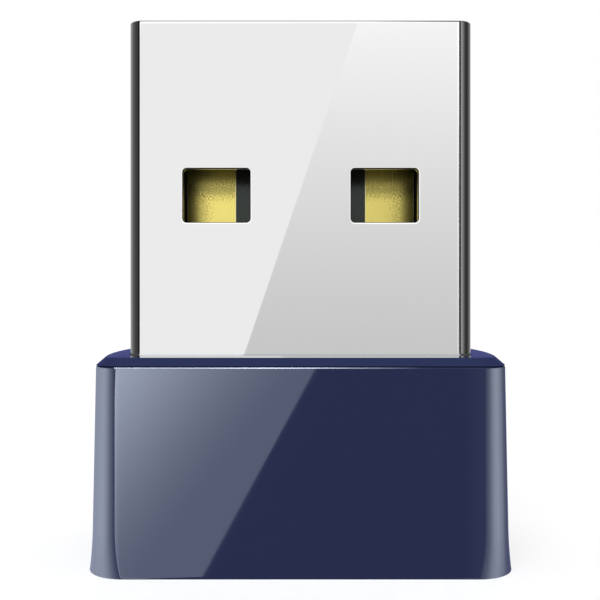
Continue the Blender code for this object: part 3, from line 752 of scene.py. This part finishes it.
# Painted highlight on the rolled edge, and painted shade on the broken edge inside it.
highlight_ring = product(tree, near_window, band(tree, faces_out, (0.999, 0.98), (0.66, 0.78)))
shade_ring = product(tree, near_window, band(tree, faces_out, (0.78, 0.66), (0.02, 0.08)))
painted_light_colour = blend_colours(tree, highlight_ring, clouded, PAINTED_HIGHLIGHT_WHITE)
painted_light_colour = blend_colours(tree, shade_ring, painted_light_colour, PAINTED_SHADE_BLACK)
rough = smooth_step(tree, calc(tree, "ADD", highlight_ring, shade_ring), 0.0, 1.0, rough, 0.6)
bright = smooth_step(tree, highlight_ring, 0.0, 1.0, 1.0, 0.0)
set_inputs(tree, shader, Base_Color=painted_light_colour, Roughness=rough, Metallic=bright)
put_in_order(shell.data)
finish_piece(shell, nickel, "plated_sheet", "plug_shell")


# ---------------------------------------------------------------------------------------------
# Solder. Two fillets that tie the shell's legs to the board: bright where it flowed, with a
# frosty skin where it froze.

SOLDER_COLOURS = (0.72, 0.73, 0.74), (0.55, 0.56, 0.57)

solder = mottled_finish(
    "reflowed_solder",
    sizes=(0.35, 0.05),
    colours=SOLDER_COLOURS,
    roughness=(0.25, 0.18),
    relief=0.02,
    metallic=1.0,
    follows=("Patches", "Patches", "Patches"),
)
finish_nodes(solder, "solder_left", "solder_right")


# ---------------------------------------------------------------------------------------------
# Top cover. A navy plastic collar that slides down the plug: chamfered all round, with a spigot
# below that reaches into the case and four small hooks that snap into the case's wall.

SHOULDER_SIDE = 1.22 * MM  # from the plug's side to the case's, at the rim
SHOULDER_FRONT = 1.3 * MM  # from the plug's front to the case's
END_RUN = 1.07 * MM  # along X, from where a broad face stops being flat to the case's end
END_RADIUS = 16.5 * MM
CASE_WALL = 0.7 * MM
DRAFT = math.radians(1.2)
FLARE_HEIGHT = 1.6 * MM
FLARE_RADIUS = 12.6 * MM
FLARE_STEPS = 16
FOOT_ROUNDING = 2.0  # that the flat part shortens by, for each part of flare
COVER_CHAMFER_RISE = 0.27 * MM
COVER_CHAMFER_RUN = 0.31 * MM
COVER_ROUND = 0.02 * MM
PLUG_FIT = 0.04 * MM
SPIGOT_FIT = 0.03 * MM
SPIGOT_LEAD_IN = 0.2 * MM
HOOK_WIDTH = 2.0 * MM
HOOK_HEIGHT = 0.3 * MM
HOOK_REACH = 0.15 * MM
HOOK_SPACING = 8.6 * MM
POCKET_PLAY = 0.05 * MM

CASE_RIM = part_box("housing")[1].z
CASE_HALF_DEPTH = PLUG_HALF_DEPTH + SHOULDER_FRONT
CASE_HALF_WIDTH = PLUG_HALF_WIDTH + SHOULDER_SIDE
CASE_HALF_FLAT = CASE_HALF_WIDTH - END_RUN
COVER_TOP = cover_high.z
COVER_BOTTOM = COVER_TOP - COVER_CHAMFER_RISE
SPIGOT_BOTTOM = cover_low.z


def case_flare(height):
    return max(FLARE_HEIGHT - height, 0) ** 2 / (2 * FLARE_RADIUS)


def case_half_width(height):
    return CASE_HALF_WIDTH + (CASE_RIM - height) * math.tan(DRAFT) + case_flare(height)


def case_outline(height, inset=0.0, flat=CASE_HALF_FLAT):
    """The housing's outline at a height: straight broad sides, bowed ends, tangent corners."""
    half_depth = CASE_HALF_DEPTH - inset
    half_width = case_half_width(height) - inset
    flat = flat - FOOT_ROUNDING * case_flare(height)
    bow = END_RADIUS - inset
    past_flat = half_width - flat
    corner = (2 * bow * past_flat - past_flat**2 - half_depth**2) / (2 * (bow - half_depth))
    bow_x = half_width - bow
    tangent = math.atan2(half_depth - corner, flat - bow_x)
    front = arc(flat, corner - half_depth, corner, -math.pi / 2, -tangent, CORNER_STEPS)
    end = arc(bow_x, 0, bow, -tangent, tangent, END_STEPS)[1:-1]
    back = arc(flat, half_depth - corner, corner, tangent, math.pi / 2, CORNER_STEPS)
    return turned_round(front + end + back)


def inner_outline(height, play=0.0):
    """The case's inside wall at a height, or what slides into it with play all round."""
    return case_outline(height, CASE_WALL + play, CASE_HALF_FLAT - CASE_WALL - play)


def hook_prism(name, end, side, play):
    """Wedge of one snap hook, or with play the pocket that it springs into."""
    wall_y = CASE_HALF_DEPTH - CASE_WALL - SPIGOT_FIT
    root_y = wall_y - SPIGOT_FIT
    low = SPIGOT_BOTTOM + HOOK_HEIGHT / 2 - play
    high = low + HOOK_HEIGHT + 2 * play
    reach = wall_y + HOOK_REACH + play
    half = HOOK_WIDTH / 2 + play
    ramp_top = high - HOOK_HEIGHT / 3 - 2 * play
    section = [(root_y, low), (root_y, high), (reach, high), (reach, ramp_top)]
    outline = [(end * HOOK_SPACING / 2 - half, side * y, z) for y, z in section]
    return extruded(name, outline, (2 * half, 0, 0))


each_corner = [(end, side) for end in (-1, 1) for side in (-1, 1)]

# Three short facets round the chamfer's upper edge. Its lower one, on the parting line, is crisp.
turn = COVER_ROUND / 2
rings = [
    at_height(case_outline(CASE_RIM), COVER_BOTTOM),
    at_height(case_outline(CASE_RIM, COVER_CHAMFER_RUN - turn), COVER_TOP - turn),
    at_height(case_outline(CASE_RIM, COVER_CHAMFER_RUN - turn / 4), COVER_TOP - turn / 3),
    at_height(case_outline(CASE_RIM, COVER_CHAMFER_RUN + turn), COVER_TOP),
    at_height(plug_outline(PLUG_FIT), COVER_TOP),
    at_height(plug_outline(PLUG_FIT), SPIGOT_BOTTOM + SPIGOT_LEAD_IN),
    at_height(plug_outline(PLUG_FIT + SPIGOT_LEAD_IN), SPIGOT_BOTTOM),
    at_height(inner_outline(CASE_RIM, SPIGOT_FIT + COVER_ROUND), SPIGOT_BOTTOM),
    at_height(inner_outline(CASE_RIM, SPIGOT_FIT), SPIGOT_BOTTOM + COVER_ROUND),
    at_height(inner_outline(CASE_RIM, SPIGOT_FIT), COVER_BOTTOM),
]
collar = loft("top_cover_collar", rings, closed=True)
for end, side in each_corner:
    combine(collar, hook_prism("hook", end, side, 0.0), "UNION")

NAVY_COLOURS = (0.0185, 0.0240, 0.0655), (0.0175, 0.0230, 0.0630)
BASE_TEXTURE_HEIGHT = 0.02  # mm above the base, below which the tool's surface is eroded matt
LACQUER_SHARE = 0.5  # of a whole clear coat

navy, shader, tree, place, uneven = start_finish("navy_gloss_plastic", 4.0, 0.04)
pigment = blend_colours(tree, uneven["Patches"], *NAVY_COLOURS)
polished = calc(tree, "MULTIPLY_ADD", uneven["Patches"], 0.02, 0.02)
under_base = smooth_step(tree, place.z, BASE_TEXTURE_HEIGHT, 0.0)
rough = smooth_step(tree, under_base, 0.0, 1.0, polished, 0.55)
# The cover's shoulder is thinly lacquered over the join with the plug.
shoulder = (COVER_TOP - COVER_ROUND) / MM, COVER_TOP / MM
lacquer = smooth_step(tree, place.z, *shoulder, 0.0, LACQUER_SHARE)
set_inputs(tree, shader, Base_Color=pigment, Roughness=rough, Coat_Weight=lacquer)
bump(tree, shader, product(tree, uneven["Grain"], under_base), 0.02 * MM)
put_in_order(collar.data)
finish_piece(collar, navy, "navy_plastic", "top_cover")


# ---------------------------------------------------------------------------------------------
# Housing. A deep navy cup moulded in one piece, polished outside: flat broad faces, bowed ends
# that spread to a foot, and guide ribs inside for the board. The cover snaps into its mouth.

CASE_FLOOR = 0.8 * MM
FLOOR_FILLET = 0.2 * MM
BASE_ROUND = 0.03 * MM
RIM_ROUND = 0.06 * MM
RIB_THICKNESS = 0.6 * MM
RIB_FIT = 0.05 * MM

base_edge = quarter_round(BASE_ROUND)
rings = [at_height(case_outline(0, down), inset) for inset, down in base_edge]
for i in range(1, FLARE_STEPS + 1):
    height = FLARE_HEIGHT * i / FLARE_STEPS
    rings.append(at_height(case_outline(height), height))
rings += [
    at_height(case_outline(CASE_RIM, inset), CASE_RIM - down)
    for inset, down in quarter_round(RIM_ROUND)
]
rings.append(at_height(inner_outline(CASE_RIM, RIM_ROUND), CASE_RIM))
rings.append(at_height(inner_outline(CASE_RIM), CASE_RIM - RIM_ROUND))
rings.append(at_height(inner_outline(FLARE_HEIGHT), FLARE_HEIGHT))
rings += [
    at_height(inner_outline(CASE_FLOOR, inset), CASE_FLOOR + down)
    for inset, down in quarter_round(FLOOR_FILLET)
]
cup = loft("housing_cup", rings)
board_x = board_high.x
for end, side in each_corner:
    face = (board_high.y if side > 0 else board_low.y) + side * RIB_FIT
    xs = sorted((end * (case_half_width(0) - CASE_WALL / 2), end * (board_x - RIB_THICKNESS)))
    ys = sorted((face, face + side * RIB_THICKNESS))
    low_corner, high_corner = (xs[0], ys[0], CASE_FLOOR / 2), (xs[1], ys[1], LEG_BOTTOM - RIB_FIT)
    combine(cup, block("rib", low_corner, high_corner), "UNION")
    combine(cup, hook_prism("pocket", end, side, POCKET_PLAY), "DIFFERENCE")
put_in_order(cup.data)
finish_piece(cup, navy, "navy_plastic", "housing")


# ---------------------------------------------------------------------------------------------
# Studio. A pale table, a soft lamp above, even light all round, and softboxes that only show in
# reflections: one set for the polished metal, one for the housing and one for its cover.

CAMERA_PLACE = Vector((-0.02, -31.25, 9.3)) * MM
TENT_RADIUS = 1500 * MM  # of the innermost tent
TENT_SPACING = 100 * MM  # between one tent and the next
ROOM_LEVEL = 0.80
LAMP_STRENGTH = 1.6


def length_of(tree, first, second):
    squares = calc(tree, "MULTIPLY_ADD", first, first, product(tree, second, second))
    return calc(tree, "POWER", squares, 0.5)


class Tent:
    """Round tent seen only in reflections, and only by the pieces named.

    Its sockets say where a point of it lies: face_x and face_z, in mm, where the camera sees it
    mirrored in an upright face at face_y; leaning_x, the same X for a face that leans back; the
    azimuth from the front, in degrees; and the slope above the horizon.
    """

    def __init__(self, name, layer, face_y, receivers):
        bm = bmesh.new()
        radius = TENT_RADIUS + layer * TENT_SPACING
        bmesh.ops.create_uvsphere(bm, u_segments=64, v_segments=32, radius=radius)
        obj = mesh_object(name, bm)
        obj.location = (CAMERA_PLACE.x, 2 * face_y - CAMERA_PLACE.y, CAMERA_PLACE.z)
        for kind in ("camera", "diffuse", "transmission", "volume_scatter", "shadow"):
            setattr(obj, f"visible_{kind}", False)
        lit = bpy.data.collections.new(f"{name}_shines_on")
        for piece in receivers:
            lit.objects.link(piece)
        obj.light_linking.receiver_collection = lit
        obj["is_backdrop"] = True
        made = bpy.data.materials.new(name)
        made.use_nodes = True
        made.cycles.emission_sampling = "NONE"
        obj.data.materials.append(made)
        tree = made.node_tree
        tree.nodes.clear()
        emission = tree.nodes.new("ShaderNodeEmission")
        clear = tree.nodes.new("ShaderNodeBsdfTransparent")
        both = tree.nodes.new("ShaderNodeAddShader")
        output = tree.nodes.new("ShaderNodeOutputMaterial")
        tree.links.new(emission.outputs[0], both.inputs[0])
        tree.links.new(clear.outputs[0], both.inputs[1])
        tree.links.new(both.outputs[0], output.inputs["Surface"])
        self.tree = tree
        self.emission = emission
        _, x, y, z = place_in_mm(tree)
        face_distance = (face_y - CAMERA_PLACE.y) / MM
        forward = product(tree, y, -1.0)
        scale = calc(tree, "DIVIDE", face_distance, calc(tree, "MAXIMUM", forward, 0.001))
        leaning_scale = calc(tree, "DIVIDE", face_distance, length_of(tree, y, z))
        self.face_x = product(tree, x, scale)
        self.face_z = calc(tree, "MULTIPLY_ADD", z, scale, CAMERA_PLACE.z / MM)
        self.leaning_x = product(tree, x, leaning_scale)
        self.azimuth = calc(tree, "DEGREES", calc(tree, "ARCTAN2", x, forward))
        self.slope = calc(tree, "DIVIDE", z, length_of(tree, x, y))

    def within(self, value, low, high, soft):
        """1 from low to high, with soft edges that lie inside that range."""
        return band(self.tree, value, (low, low + soft), (high, high - soft))

    def right_of_line(self, foot_x, foot_z, lean):
        """Distance in mm to the right of a line on the face, given by its foot and its lean."""
        up = calc(self.tree, "SUBTRACT", self.face_z, foot_z)
        line_x = calc(self.tree, "MULTIPLY_ADD", up, lean, foot_x)
        return calc(self.tree, "SUBTRACT", self.face_x, line_x)

    def levels_along(self, value, stops):
        """Light level along a value, from a table of values in order and levels."""
        node = self.tree.nodes.new("ShaderNodeValToRGB")
        elements = node.color_ramp.elements
        first, last = stops[0][0], stops[-1][0]
        most = max(level for _, level in stops)
        while len(elements) < len(stops):
            elements.new(0.5)
        for element, (stop, level) in zip(elements, stops):
            element.position = (stop - first) / (last - first)
            element.color = (level / most, level / most, level / most, 1.0)
        share = calc(self.tree, "DIVIDE", calc(self.tree, "SUBTRACT", value, first), last - first)
        wire(self.tree, share, node.inputs["Fac"])
        return product(self.tree, node.outputs["Color"], most)


LINE_EDGE = -0.02, 0.02  # mm over which the light changes at a leaning line

# Metal: a big softbox in front, in two panels that meet on a leaning line with the right one
# graded, and brighter above. Dark flags stand at both sides, over a pale floor and under a dark
# ceiling.
PANEL_LINE = -1.983, 7.282, 0.3413  # X and Z of its foot on the face, and its lean
PANEL_SIDES = (-23.2, -21.8), (10.837, 10.822)  # degrees, each from its outside to its inside
PANEL_TOP, LEVEL_ABOVE = (18.955, 18.985), 1.15  # mm up the face
LEFT_LEVEL = 0.965
RIGHT_LEVEL, RIGHT_GAIN = 0.655, 0.40
GRADED_FROM, GRADED_OVER, GRADING_POWER = 7.3, 11.7, 1.25  # mm up the face, and its curve
LAST_STRIP, STRIP_GAIN = (10.75, 10.76), 1.4  # degrees, at the softbox's right side
FLAG_LEVELS = (
    (-180, 0.70), (-160, 0.50), (-135, 0.38), (-113, 0.27), (-95, 0.145), (-82, 0.104),
    (-70, 0.076), (-55, 0.052), (-43, 0.052), (-37, 0.02), (-30, 0.012), (10, 0.04),
    (18, 0.045), (20, 0.34), (25, 0.34), (34, 0.25), (44, 0.15), (54, 0.068), (65, 0.036),
    (76, 0.032), (89, 0.054), (103, 0.113), (123, 0.228), (151, 0.57), (180, 0.70),
)  # degrees round from the front, and the level there
FLOOR_SLOPES, FLOOR_LEVEL = (-0.50, -0.07), 0.85
CEILING_SLOPES, CEILING_LEVEL = (1.4, 2.0), 0.06

metal = [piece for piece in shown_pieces() if piece not in (cup, collar)]
tent = Tent("metal_softboxes", 0, -PLUG_HALF_DEPTH, metal)
tree = tent.tree
climb = calc(tree, "SUBTRACT", tent.face_z, GRADED_FROM)
climb = calc(tree, "POWER", calc(tree, "DIVIDE", climb, GRADED_OVER, clamp=True), GRADING_POWER)
graded = calc(tree, "MULTIPLY_ADD", climb, RIGHT_GAIN, RIGHT_LEVEL)
panels = smooth_step(tree, tent.right_of_line(*PANEL_LINE), *LINE_EDGE, LEFT_LEVEL, graded)
panels = smooth_step(tree, tent.face_z, *PANEL_TOP, panels, LEVEL_ABOVE)
brighter = smooth_step(tree, tent.azimuth, *LAST_STRIP, 1.0, STRIP_GAIN)
panels = product(tree, panels, brighter)
flags = tent.levels_along(tent.azimuth, FLAG_LEVELS)
around = smooth_step(tree, tent.slope, *FLOOR_SLOPES, FLOOR_LEVEL, flags)
in_front = band(tree, tent.azimuth, *PANEL_SIDES)
around = smooth_step(tree, in_front, 0.0, 1.0, around, panels)
around = smooth_step(tree, tent.slope, *CEILING_SLOPES, around, CEILING_LEVEL)
wire(tree, around, tent.emission.inputs["Strength"])

# Housing: a glare panel in front that ends on a leaning line, a strip light at each side for the
# corners, and a box overhead for the rim, all in a dim blue room.
BOX_TINT = (0.90, 1.0, 1.17)
ROOM_COLOUR = (0.078, 0.082, 0.21)
CEILING_COLOUR = (0.10, 0.18, 0.48)
BENCH_COLOUR = (0.075, 0.08, 0.08)  # of the room low down, everywhere but behind
GLARE_LINE = -3.296, 0.025, 0.5403
GLARE_CORNER_Z, GLARE_INSET = 6.9, 0.15  # mm: it is brightest near the face's upper left corner
GLARE_SLANT = 0.78  # mm across for each mm up, along which it stays even
GLARE_REACH, GLARE_POWER = 6.0, 1.6  # mm over which it fades, and the curve of its fading
GLARE_LEVEL, GLARE_GAIN = 2.0, 6.15
GLARE_LINE_GAIN, GLARE_EDGE_GAIN = 0.5, 1.0  # along its leaning line, and at the face's left edge
STRIP_LEVELS = (
    (-180, 0.22), (-154, 0.43), (-134, 0.95), (-114, 2.05), (-93, 3.93), (-73, 5.66),
    (-65, 5.7), (-53, 4.9), (-33, 2.0), (-22, 0.8), (-17, 0.5), (-15, 0.0), (12, 0.0),
    (13.4, 0.5), (16, 0.75), (19, 1.05), (29, 1.9), (49, 4.8), (61, 5.2), (69, 5.1),
    (88, 2.9), (108, 0.75), (128, 0.18), (180, 0.1),
)  # degrees round from the front, and the level there
RIM_LEVELS = (
    (-10, 0.0), (-9.5, 16.0), (-4, 16.0), (-3.3, 18.5), (-2, 24.0), (-0.6, 25.5),
    (0.7, 18.5), (2, 9.5), (3.3, 5.0), (4.7, 0.4), (10, 0.0),
)  # mm along the rim, and the level there


def coloured_room(tent, room_colour, tint, level):
    """Sends out the dim colour of the room, with light boxes of one tint added to it."""
    tree = tent.tree
    from_front = calc(tree, "ABSOLUTE", tent.azimuth)
    low_beside = product(
        tree,
        tent.within(tent.slope, -0.03, 0.15, 0.03),
        smooth_step(tree, from_front, 170, 155),
    )
    high_up = smooth_step(tree, tent.slope, 2.0, 5.0)
    room = blend_colours(tree, high_up, room_colour, CEILING_COLOUR)
    room = blend_colours(tree, low_beside, room, BENCH_COLOUR)
    lit = vector_calc(tree, "ADD", vector_calc(tree, "SCALE", tint, level), room)
    tree.links.new(lit, tent.emission.inputs["Color"])


tent = Tent("housing_softboxes", 1, -CASE_HALF_DEPTH, [cup])
tree = tent.tree
flat_end = CASE_HALF_FLAT / MM
to_right = tent.right_of_line(*GLARE_LINE)
corner_across = GLARE_SLANT * GLARE_CORNER_Z + flat_end - GLARE_INSET
from_corner = calc(tree, "MULTIPLY_ADD", tent.face_z, -GLARE_SLANT, corner_across)
from_corner = calc(tree, "ADD", from_corner, tent.face_x)
fading = calc(tree, "SUBTRACT", 1.0, calc(tree, "DIVIDE", from_corner, GLARE_REACH), clamp=True)
fading = calc(tree, "POWER", fading, GLARE_POWER)
glare = calc(tree, "MULTIPLY_ADD", fading, GLARE_GAIN, GLARE_LEVEL)
at_line = tent.within(to_right, -0.06, 0.02, 0.02)
glare = calc(tree, "MULTIPLY_ADD", at_line, GLARE_LINE_GAIN, glare)
left_edge = tent.within(tent.face_x, -flat_end - 2.0, -flat_end + 0.08, 0.02)
glare = calc(tree, "MULTIPLY_ADD", left_edge, GLARE_EDGE_GAIN, glare)
left_panel = product(
    tree,
    smooth_step(tree, tent.face_x, -flat_end - 1.75, -flat_end - 1.65),
    smooth_step(tree, to_right, *LINE_EDGE, 1.0, 0.0),
    tent.within(tent.face_z, -15.0, 7.25, 0.01),
)
strips = product(
    tree,
    tent.levels_along(tent.azimuth, STRIP_LEVELS),
    tent.within(tent.slope, -1.2, 0.4, 0.1),
    smooth_step(tree, tent.slope, -0.42, -0.22, 0.82, 1.0),
)
overhead = product(
    tree,
    tent.within(tent.slope, 0.12, 9.0, 0.03),
    smooth_step(tree, calc(tree, "ABSOLUTE", tent.azimuth), 90, 88),
    smooth_step(tree, tent.slope, 0.4, 2.0, 0.9, 1.4),
)
rim_level = tent.levels_along(tent.leaning_x, RIM_LEVELS)
total = calc(tree, "MULTIPLY_ADD", glare, left_panel, strips)
coloured_room(tent, ROOM_COLOUR, BOX_TINT, calc(tree, "MULTIPLY_ADD", overhead, rim_level, total))

# Top cover: a low white box in front, which its shoulder and the plug's foot pass to and fro. It is
# dimmer to the right and low down.
COVER_ROOM_COLOUR = (0.078, 0.088, 0.27)
COVER_BOX_TINT = (0.96, 1.0, 1.0)
COVER_BOX_SLOPES, COVER_BOX_ANGLES = (0.025, 0.10), (-27, 11)

tent = Tent("cover_softbox", 2, -CASE_HALF_DEPTH, [collar])
tree = tent.tree
low_box = product(
    tree,
    tent.within(tent.slope, *COVER_BOX_SLOPES, 0.01),
    tent.within(tent.azimuth, *COVER_BOX_ANGLES, 0.1),
    smooth_step(tree, tent.face_x, -1.91, -1.87, 1.2, 0.75),
    smooth_step(tree, tent.slope, 0.0625, 0.0633, 0.84, 1.0),
)
coloured_room(tent, COVER_ROOM_COLOUR, COVER_BOX_TINT, low_box)

# Table. The camera sees it as white, with the object's soft shadow on it.
TABLE_HALF_WIDTH = 2000 * MM
TABLE_COLOUR = (0.34, 0.34, 0.34, 1.0)
TABLE_GLOW = 0.62  # seen by the camera only
WHITE = (1.0, 1.0, 1.0, 1.0)

bm = bmesh.new()
bmesh.ops.create_grid(bm, x_segments=1, y_segments=1, size=TABLE_HALF_WIDTH)
table = mesh_object("table_top", bm)
table.location.z = cad_bounds[0].z
table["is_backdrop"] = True
for kind in ("diffuse", "glossy", "transmission", "shadow"):
    setattr(table, f"visible_{kind}", False)
white, shader = new_material("white_table")
tree = white.node_tree
set_inputs(tree, shader, Base_Color=TABLE_COLOUR, Roughness=1.0, Specular_IOR_Level=0.0)
seen = tree.nodes.new("ShaderNodeLightPath").outputs["Is Camera Ray"]
glow = product(tree, seen, TABLE_GLOW)
set_inputs(tree, shader, Emission_Color=WHITE, Emission_Strength=glow)
white.cycles.emission_sampling = "NONE"
table.data.materials.append(white)

# Even light all round. The camera sees it as white, and mirrors see the softboxes instead.
world = bpy.data.worlds.new("studio")
world.use_nodes = True
bpy.context.scene.world = world
world.cycles.sampling_method = "NONE"
tree = world.node_tree
path = tree.nodes.new("ShaderNodeLightPath").outputs
level = calc(tree, "MULTIPLY_ADD", path["Is Camera Ray"], 1.0 - ROOM_LEVEL, ROOM_LEVEL)
level = calc(tree, "MULTIPLY_ADD", path["Is Glossy Ray"], -ROOM_LEVEL, level)
set_inputs(tree, tree.nodes["Background"], Color=WHITE, Strength=level)

lamp_data = bpy.data.lights.new("soft_lamp", "SUN")
lamp_data.energy = LAMP_STRENGTH
lamp_data.angle = math.radians(40)
lamp = add_object("soft_lamp", lamp_data)
lamp.rotation_euler = (math.radians(28), 0, math.radians(-8))
lamp.visible_glossy = False

camera_data = bpy.data.cameras.new("camera")
camera_data.lens = 50
camera_data.sensor_width = 36
camera_data.clip_start = 1 * MM
camera = add_object("camera", camera_data)
camera.location = CAMERA_PLACE
camera.rotation_euler = (math.radians(90), 0, 0)
bpy.context.scene.camera = camera
bpy.context.scene.view_settings.view_transform = "Standard"

visual_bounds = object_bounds()
sizes = {"cad": cad_bounds, "visual": visual_bounds}
